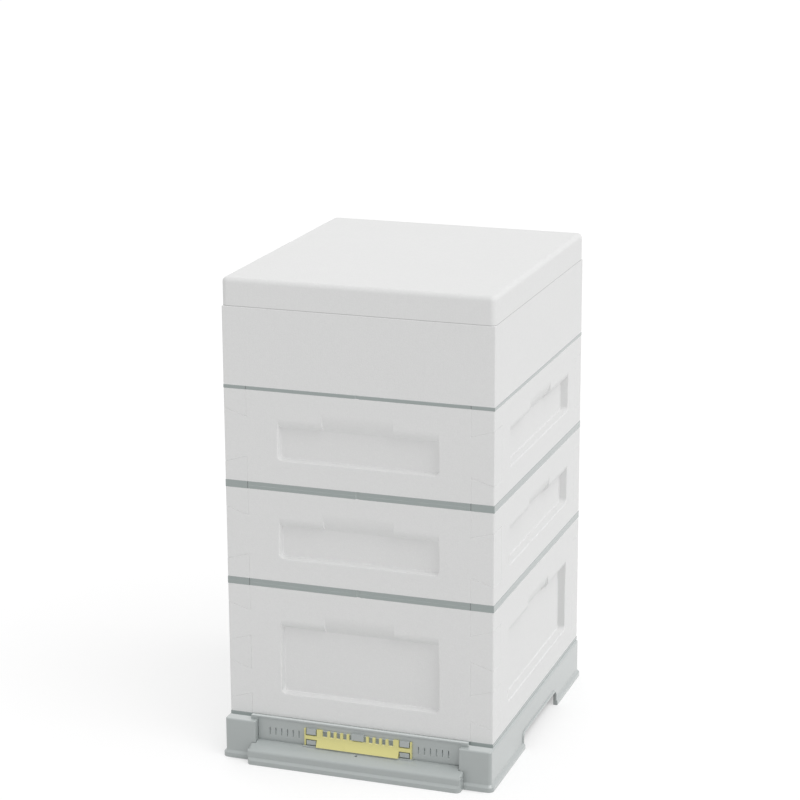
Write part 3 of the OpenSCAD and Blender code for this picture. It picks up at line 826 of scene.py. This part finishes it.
@dataclass
class FoamWall(SoftSolid):
    """One wall of a box.

    Edges are told apart by where they lie: the hive's outer corners, the rim and floor of
    the hand hold, and the seams where walls and rails meet.
    """

    faces: Axis = Axis.DEPTH
    corner: float = 2.2 * MM
    rim: float = 2.2 * MM
    seam: float = 1.0 * MM
    hold_depth: float = 15.1 * MM
    hold_half: float = 185 * MM
    below_hold: float = 20 * MM
    above_hold: float = 18 * MM
    half: tuple[float, float] = (235 * MM, 265 * MM)
    middle: tuple[float, float] = (0.0, 19.5 * MM)

    def rules(self) -> list[Rule]:
        """Rounds the hand hold first, then the outer corners, then all other edges.

        Returns:
            The rules.
        """
        return [
            (self._rim_edges, self.rim, 4),
            (self._corner_edges, self.corner, 3),
            (lambda ends: ~self._hold_edges(ends), self.seam, 2),
        ]

    def _depth(self, ends: np.ndarray) -> np.ndarray:
        """Depth of each edge end below the wall's outer face."""
        k = self.faces.value
        return self.half[k] - np.abs(ends[:, :, k] - self.middle[k])

    def _hold_edges(self, ends: np.ndarray) -> np.ndarray:
        """Edges that lie inside the hand hold's patch of the outer face.

        Args:
            ends: Edge ends, n by 2 by 3.

        Returns:
            A mask of the edges.
        """
        low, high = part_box(self.node)
        k = 1 - self.faces.value
        inside = np.all(np.abs(ends[:, :, k] - self.middle[k]) < self.hold_half, axis=1)
        near = np.all(self._depth(ends) < self.hold_depth, axis=1)
        up = ends[:, :, 2]
        tall = (up > low[2] + self.below_hold) & (up < high[2] - self.above_hold)
        return inside & near & np.all(tall, axis=1)

    def _rim_edges(self, ends: np.ndarray) -> np.ndarray:
        """Edges of the hand hold that stay at one depth."""
        level = np.ptp(self._depth(ends), axis=1) < self.merge
        return level & self._hold_edges(ends)

    def _corner_edges(self, ends: np.ndarray) -> np.ndarray:
        """Upright edges at the hive's outer corners.

        Args:
            ends: Edge ends, n by 2 by 3.

        Returns:
            A mask of the edges.
        """
        upright = np.ptp(ends[:, :, :2], axis=1).max(axis=1) < self.merge
        off = np.abs(np.abs(ends[:, 0, :2] - self.middle) - self.half)
        return upright & np.all(off < 2 * self.merge, axis=1)


@dataclass
class BoardSolid(SoftSolid):
    """The landing board, soft along the ends of its sloping top."""

    end_cut: float = 184.0 * MM
    end: float = 4.0 * MM
    other: float = 0.7 * MM
    lap_half: float = 190.5 * MM
    lap_low: float = 18 * MM
    shortest: float = 2 * MM
    slack: float = 0.05 * MM

    def cuts(self) -> list[tuple[int, float]]:
        """Middle planes, and one inside each lapping end."""
        return super().cuts() + [(0, -self.end_cut), (0, self.end_cut)]

    def rules(self) -> list[Rule]:
        """The lapping ends' top edges first, then all others."""
        return [(self._end_edges, self.end, 4), (self.every_edge, self.other, 2)]

    def _end_edges(self, ends: np.ndarray) -> np.ndarray:
        """Top edges of the ends that lap over the blocks.

        Args:
            ends: Edge ends, n by 2 by 3.

        Returns:
            A mask of the edges.
        """
        out = np.all(np.abs(np.abs(ends[:, :, 0]) - self.lap_half) < self.slack, axis=1)
        high = np.all(ends[:, :, 2] > self.lap_low, axis=1)
        return out & high & (np.ptp(ends[:, :, 1], axis=1) > self.shortest)


@dataclass
class BaseSolid(SoftSolid):
    """The floor's moulded base, with one small rounding on every edge."""

    edge: float = 0.8 * MM

    def rules(self) -> list[Rule]:
        """One rule for all sharp edges."""
        return [(self.every_edge, self.edge, 2)]


@dataclass
class HiveBox:
    """A brood box or honey super: four foam walls and eight plastic rails."""

    prefix: str
    body: str
    rail_edge: float = 0.6 * MM
    sides: tuple[tuple[str, Axis], ...] = (
        ("front", Axis.DEPTH),
        ("back", Axis.DEPTH),
        ("left", Axis.ACROSS),
        ("right", Axis.ACROSS),
    )

    def build(self, frame: Frame, finishes: Finishes) -> None:
        """Builds the foam walls and dresses the rails.

        Args:
            frame: The loaded frame.
            finishes: The hive's materials.
        """
        for side, axis in self.sides:
            wall = FoamWall(f"{self.prefix}_{side}_wall", self.body, Slot.FOAM, faces=axis)
            piece = wall.build(frame, finishes)
            LOG.info("%s: %d points", piece.name, len(piece.data.vertices))
            for kind in ("top_rail", "foot_rail"):
                rail = frame["nodes"][f"{self.prefix}_{side}_{kind}"]
                SoftEdges(self.rail_edge, clamp=False).apply(rail)
                finishes.dress(rail, Slot.RAIL)
                LOG.info("%s dressed", rail.name)


@dataclass
class PerforatedSheet:
    """Thin bent sheet with staggered rows of small holes.

    In the flat, cell (i, j) is p wide and q tall round an eight-sided hole of radius r, and
    odd rows are set off by half a cell, with s = j mod 2 and hole corners
    (p (i + (1 + s) / 2) + r cos a, q (j + 1/2) + r sin a). The flat point (u, v, w) is then
    carried along the sheet: level from the back, a quarter turn of radius R at v = L, and
    straight down to the tank's floor, with w along the normal.
    """

    right: float
    back: float
    front: float
    top: float
    bottom: float
    width: float
    pitch: float = 6.6 * MM
    row: float = 3.8 * MM
    hole: float = 1.4 * MM
    thick: float = 0.8 * MM
    bend: float = 3.0 * MM

    def flat(self, length: float) -> tuple[np.ndarray, list[np.ndarray]]:
        """Flat sheet.

        Args:
            length: Length along the bend.

        Returns:
            Points (u, v, w) and arrays of faces.
        """
        nu, nv = 2 * round(self.width / self.pitch), round(length / self.row)
        u, v = np.linspace(0, self.width, nu + 1), np.linspace(0, length, nv + 1)
        grid = np.stack(np.meshgrid(u, v), axis=-1).reshape(-1, 2)
        j, i = np.indices((nv, nu // 2)).reshape(2, -1)
        i = 2 * i + j % 2
        j, i = j[i + 2 <= nu], i[i + 2 <= nu]
        turn = np.pi / 8 + np.arange(8) * np.pi / 4
        ring = self.hole * np.stack([np.cos(turn), np.sin(turn)], axis=-1)
        centres = np.stack([u[i + 1], (v[j] + v[j + 1]) / 2], axis=-1)
        one = np.vstack([grid, (centres[:, None] + ring).reshape(-1, 2)])
        n = len(one)
        half = np.full((n, 1), self.thick / 2)
        points = np.vstack([np.hstack([one, half]), np.hstack([one, -half])])
        # Corners of each cell from low left round, with the middles of its low and high side
        c = j * (nu + 1) + i + np.array([0, 1, 2, nu + 3, nu + 2, nu + 1])[:, None]
        h = len(grid) + np.arange(len(i)) * 8 + np.arange(8)[:, None]
        fans = ((0, 3, 1), (1, 4, 2), (2, 5, 3), (4, 0, 5), (5, 1, 6), (6, 2, 7))
        tri = [np.stack([h[a], c[k], h[b]], 1) for a, k, b in fans]
        tri += [np.stack([h[a], c[k], c[k + 1]], 1) for a, k in ((1, 3), (2, 4), (5, 0), (6, 1))]
        sides = ((7, 2, 3, 0), (3, 5, 0, 4))
        quad = [np.stack([h[a], c[k], c[m], h[b]], 1) for a, k, m, b in sides]
        # Plain half cells at the ends of the odd rows
        odd = np.arange(1, nv, 2) * (nu + 1)
        whole = np.array([0, 1, nu + 2, nu + 1])
        quad += [odd[:, None] + k + whole for k in (0, nu - 1)]
        following = np.roll(h, -1, axis=0)
        walls = [np.stack([a, b, b + n, a + n], 1) for a, b in zip(h, following)]
        rows, cols = np.arange(nv + 1) * (nu + 1), np.arange(nu + 1)
        loop = np.concatenate([cols[:-1], rows[:-1] + nu, rows[-1] + cols[:0:-1], rows[:0:-1]])
        after = np.roll(loop, -1)
        rim = [np.stack([loop, loop + n, after + n, after], 1)]
        under = [f[:, ::-1] + n for f in tri + quad]
        return points, tri + quad + under + walls + rim

    def carried(self, flat: np.ndarray, level: float) -> np.ndarray:
        """Carries flat points along the bend.

        Args:
            flat: Points (u, v, w).
            level: Length of the level part.

        Returns:
            Points in space.
        """
        u, v, w = flat.T
        turn = np.clip((v - level) / self.bend, 0, np.pi / 2)
        down = np.clip(v - level - self.bend * np.pi / 2, 0, None)
        y = self.back - np.minimum(v, level) - (self.bend + w) * np.sin(turn)
        z = self.top - self.thick / 2 - self.bend + (self.bend + w) * np.cos(turn) - down
        return np.stack([self.right - u, y, z], axis=1)

    def build(self) -> bpy.types.Object:
        """Builds the bent sheet from its sizes.

        Returns:
            The sheet.
        """
        level = self.back - self.front - self.bend - self.thick / 2
        drop = self.top - self.thick / 2 - self.bend - self.bottom
        flat, faces = self.flat(level + self.bend * np.pi / 2 + drop)
        corners = [f for group in faces for f in group.tolist()]
        return sheet_mesh("feeder_fine_screen", self.carried(flat, level), corners)


@dataclass
class Feeder:
    """Foam feeder with a perforated screen over the bees' way up."""

    edge: float = 1.8 * MM

    def build(self, frame: Frame, finishes: Finishes) -> None:
        """Softens the foam body and makes the fine screen.

        Args:
            frame: The loaded frame.
            finishes: The hive's materials.
        """
        body = frame["nodes"]["feeder_body"]
        SoftEdges(self.edge, segments=3, clamp=False).apply(body)
        finishes.dress(body, Slot.FOAM)
        LOG.info("feeder_body dressed")
        low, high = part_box("feeder_screen")
        sheet = PerforatedSheet(high[0], high[1], low[1], high[2], low[2], high[0] - low[0])
        screen = sheet.build()
        finishes.dress(screen, Slot.SCREEN)
        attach(screen, "feeder")
        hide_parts("feeder_screen")
        LOG.info("%s: %d faces", screen.name, len(screen.data.polygons))


@dataclass
class Roof:
    """Flat foam roof slab."""

    edge: float = 1.5 * MM

    def build(self, frame: Frame, finishes: Finishes) -> None:
        """Softens and dresses the roof.

        Args:
            frame: The loaded frame.
            finishes: The hive's materials.
        """
        roof = frame["nodes"]["roof"]
        SoftEdges(self.edge, segments=3).apply(roof)
        finishes.dress(roof, Slot.FOAM)
        LOG.info("roof dressed")


@dataclass
class MeshRibs:
    """Rounded tops of the long ribs across the mesh.

    Each rib's section is x = a cos t, z = b sin t for t from 0 to pi, closed below the
    panel's face, and carried straight along Y.
    """

    low_y: float
    high_y: float
    face: float
    places: tuple[float, ...] = (0, 29 * MM, 58 * MM, 87 * MM, 116 * MM, 136.2 * MM)
    half_w: float = 1.5 * MM
    rise: float = 0.9 * MM
    sink: float = 0.5 * MM
    steps: int = 8

    def build(self) -> bpy.types.Object:
        """Builds all ribs as one piece.

        Returns:
            The ribs.
        """
        t = np.linspace(0, np.pi, self.steps + 1)
        section = np.stack([self.half_w * np.cos(t), self.face + self.rise * np.sin(t)], axis=1)
        foot = self.face - self.sink
        section = np.vstack([section, [[-self.half_w, foot], [self.half_w, foot]]])
        n = len(section)
        xs = np.array(sorted({s * x for x in self.places for s in (-1, 1)}))
        ends = np.array([self.low_y, self.high_y])
        points = np.empty((len(xs), 2, n, 3))
        points[..., 0] = xs[:, None, None] + section[:, 0]
        points[..., 1] = ends[None, :, None]
        points[..., 2] = section[:, 1]
        k = np.arange(n)
        side = np.stack([k, k + n, (k + 1) % n + n, (k + 1) % n], axis=1)
        base = np.arange(len(xs)) * 2 * n
        faces = (base[:, None, None] + side).reshape(-1, 4).tolist()
        faces += (base[:, None] + k).tolist() + (base[:, None] + n + k[::-1]).tolist()
        return sheet_mesh("mesh_ribs", points.reshape(-1, 3), faces)


@dataclass
class HiveFloor:
    """Mesh floor with its entrance wall, gate and landing board."""

    rib_gap: float = 12 * MM
    edges: dict[str, tuple[float, Slot]] = field(
        default_factory=lambda: {
            "mesh_panel": (0.4 * MM, Slot.MESH),
            "panel_clips": (1.2 * MM, Slot.CLIP),
            "entrance_wall": (0.5 * MM, Slot.FLOOR),
            "entrance_gate": (0.6 * MM, Slot.GATE),
        }
    )

    def build(self, frame: Frame, finishes: Finishes) -> None:
        """Softens and dresses each piece of the floor.

        Args:
            frame: The loaded frame.
            finishes: The hive's materials.
        """
        for name, (width, slot) in self.edges.items():
            piece = frame["nodes"][name]
            SoftEdges(width, clamp=name != "entrance_wall").apply(piece)
            finishes.dress(piece, slot)
            LOG.info("%s dressed", name)
        base = BaseSolid("floor_base", "floor", Slot.FLOOR).build(frame, finishes)
        LOG.info("%s: %d points", base.name, len(base.data.vertices))
        board = BoardSolid("landing_board", "floor", Slot.FLOOR).build(frame, finishes)
        LOG.info("%s: %d points", board.name, len(board.data.vertices))
        low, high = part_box("mesh_panel")
        ribs = MeshRibs(low[1] + self.rib_gap, high[1] - self.rib_gap, high[2]).build()
        smooth(ribs)
        finishes.dress(ribs, Slot.MESH)
        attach(ribs, "floor")
        LOG.info("%s: %d faces", ribs.name, len(ribs.data.polygons))


# Studio


@dataclass(frozen=True)
class Studio:
    """Camera, soft tent light and a pale ground.

    Each body of the hive has lamps of its own, which only its own pieces shade, so that a
    lifted box looks as it does when it stands alone in the tent.
    """

    eye: tuple[float, float, float] = (1.3362, -3.8816, 1.7243)
    yaw: float = 0.334
    pitch: float = 0.2709
    roll: float = -0.0043
    lens: float = 111.37
    sensor: float = 36.0
    sight: float = 100.0
    ground_half: float = 30.0
    # Painted shadow under the hive: its soft edge, and the ground's colour and glow there (first
    # value) and in the open (second)
    painted_shadow_edge: tuple[float, float] = (-40 * MM, -10 * MM)
    ground_bounce: float = 0.8
    ground_pale: tuple[float, float] = (0.1, 0.5)
    ground_glow: tuple[float, float] = (0.0, 0.55)
    sky: float = 0.6
    key: tuple[float, float, float] = (0.24, -0.07, 0.31)
    key_inside: tuple[float, float, float] = (0.15, -0.07, 0.31)
    key_floor: tuple[float, float, float] = (0.24, -0.07, 0.43)
    back: tuple[float, float, float] = (-0.06, 0.09, 0.06)
    key_spread: float = 60.0
    back_spread: float = 40.0

    def camera(self) -> None:
        """Places the camera from its eye point and its yaw, pitch and roll."""
        cp, sp = math.cos(self.pitch), math.sin(self.pitch)
        ahead = Vector((-math.sin(self.yaw) * cp, math.cos(self.yaw) * cp, -sp))
        right = Vector((math.cos(self.yaw), math.sin(self.yaw), 0.0))
        up = right.cross(ahead)
        c, s = math.cos(self.roll), math.sin(self.roll)
        right, up = c * right + s * up, c * up - s * right
        data = bpy.data.cameras.new("camera")
        data.lens = self.lens
        data.sensor_width = self.sensor
        data.clip_end = self.sight
        cam = linked("camera", data)
        turn = Matrix((right, up, -ahead)).transposed().to_4x4()
        cam.matrix_world = Matrix.Translation(self.eye) @ turn
        bpy.context.scene.camera = cam

    @staticmethod
    def lamp(
        name: str, gives: Sequence[float], spread: float, onto: Group, shaded_by: Group | None
    ) -> bpy.types.Object:
        """Adds a far soft lamp for some pieces.

        Args:
            name: Lamp name.
            gives: Light that white faces square to X, Y and Z take from it, as a share of white.
            spread: Width of its disc in degrees.
            onto: Pieces that it lights.
            shaded_by: Pieces that shade it, or None for all.

        Returns:
            The lamp.
        """
        data = bpy.data.lights.new(name, "SUN")
        data.energy = math.pi * Vector(gives).length
        data.angle = math.radians(spread)
        lamp = linked(name, data)
        lamp.rotation_euler = (-Vector(gives)).to_track_quat("-Z", "Y").to_euler()
        lamp.light_linking.receiver_collection = onto
        if shaded_by is not None:
            lamp.light_linking.blocker_collection = shaded_by
        return lamp

    def light(self, ground: bpy.types.Object) -> None:
        """Lights each body by itself, and the ground with the whole hive's shadow.

        Args:
            ground: The studio's ground.
        """
        lit: dict[str, list[bpy.types.Object]] = {"ground": [ground]}
        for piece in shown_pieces():
            body = body_of(piece)[0]
            piece.visible_glossy = body in ("floor", "gate")
            piece.visible_diffuse = piece.visible_glossy or "screen" in piece.name
            lit.setdefault("floor" if body == "gate" else body, []).append(piece)
        for name, pieces in lit.items():
            whole = self.group("lit_" + name, pieces)
            inside = self.group("inside_" + name, [p for p in pieces if "left_wall" in p.name])
            others = self.group("others_" + name, [p for p in pieces if "left_wall" not in p.name])
            shade_by = None if name == "ground" else whole
            key = self.key_floor if name == "floor" else self.key
            self.lamp("key_" + name, key, self.key_spread, others, shade_by)
            if inside.objects:
                self.lamp("key_inside_" + name, self.key_inside, self.key_spread, inside, shade_by)
            back = self.lamp("back_" + name, self.back, self.back_spread, whole, shade_by)
            back.visible_glossy = False

    @staticmethod
    def group(name: str, pieces: Sequence[bpy.types.Object]) -> Group:
        """Collects pieces for the lamps.

        Args:
            name: The collection's name.
            pieces: What it holds.

        Returns:
            The collection.
        """
        group = bpy.data.collections.new(name)
        for piece in pieces:
            group.objects.link(piece)
        return group

    def world(self) -> None:
        """Plain white for the eye and for gloss, and an even soft light from all round."""
        world = bpy.data.worlds.new("studio")
        bpy.context.scene.world = world
        world.use_nodes = True
        tree = world.node_tree
        tree.nodes.clear()
        path = tree.nodes.new("ShaderNodeLightPath")
        white = tree.nodes.new("ShaderNodeBackground")
        white.inputs["Color"].default_value = (1.0, 1.0, 1.0, 1.0)
        out = tree.nodes.new("ShaderNodeOutputWorld")
        to_eye = Value(tree, path.outputs["Is Camera Ray"])
        seen = to_eye + Value(tree, path.outputs["Is Glossy Ray"])
        tree.links.new((seen * (1.0 - self.sky) + self.sky).socket, white.inputs["Strength"])
        tree.links.new(white.outputs[0], out.inputs["Surface"])

    def ground(self) -> bpy.types.Object:
        """Pale ground that looks white where it is in full light and keeps the shadow.

        Under the hive's footprint it gets painted shadow: a darker colour and no glow.

        Returns:
            The ground.
        """
        low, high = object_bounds()
        h = self.ground_half
        points = np.array([[-h, -h, 0.0], [h, -h, 0.0], [h, h, 0.0], [-h, h, 0.0]])
        ground = sheet_mesh("studio_ground", points, [(0, 1, 2, 3)])
        sh = Shader("studio_ground")
        x, y, _ = sh.place(sh.coords())
        # Painted shadow under the hive's footprint: darker colour and no glow there
        before = (y - (low[1] + high[1]) / 2).size() - (high[1] - low[1]) / 2
        outside_painted_shadow = sh.ramp((x.size() - high[0]).over(before), *self.painted_shadow_edge)
        path = sh.add("LightPath")
        matt = sh.add("BsdfDiffuse", None, Color=(*grey(self.ground_bounce), 1.0))
        pale = sh.blend(outside_painted_shadow, *map(grey, self.ground_pale))
        seen = sh.add("BsdfDiffuse", None, Color=pale)
        glow = sh.blend(outside_painted_shadow, *map(grey, self.ground_glow))
        lift = sh.add("Emission", None, Color=glow, Strength=1.0)
        both = sh.add("AddShader")
        sh.set(both.inputs[0], seen.outputs[0])
        sh.set(both.inputs[1], lift.outputs[0])
        mix = sh.add("MixShader")
        sh.set(mix.inputs[0], sh.value(path, "Is Camera Ray") + sh.value(path, "Is Glossy Ray"))
        sh.set(mix.inputs[1], matt.outputs[0])
        sh.set(mix.inputs[2], both.outputs[0])
        ground.data.materials.append(sh.finish(mix))
        ground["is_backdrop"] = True
        return ground


def main() -> None:
    """Builds the hive's pieces in order."""
    logging.basicConfig(level=logging.INFO, format="%(message)s")
    bpy.ops.wm.read_factory_settings(use_empty=True)
    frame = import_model()
    studio = Studio()
    studio.camera()
    studio.world()
    finishes = Finishes.build()
    HiveFloor().build(frame, finishes)
    boxes = {"brood": "brood_box", "lower": "lower_super", "upper": "upper_super"}
    for prefix, body in boxes.items():
        HiveBox(prefix, body).build(frame, finishes)
    Feeder().build(frame, finishes)
    Roof().build(frame, finishes)
    studio.light(studio.ground())
    bpy.context.scene.view_settings.view_transform = "Standard"


if __name__ == "__main__":
    main()
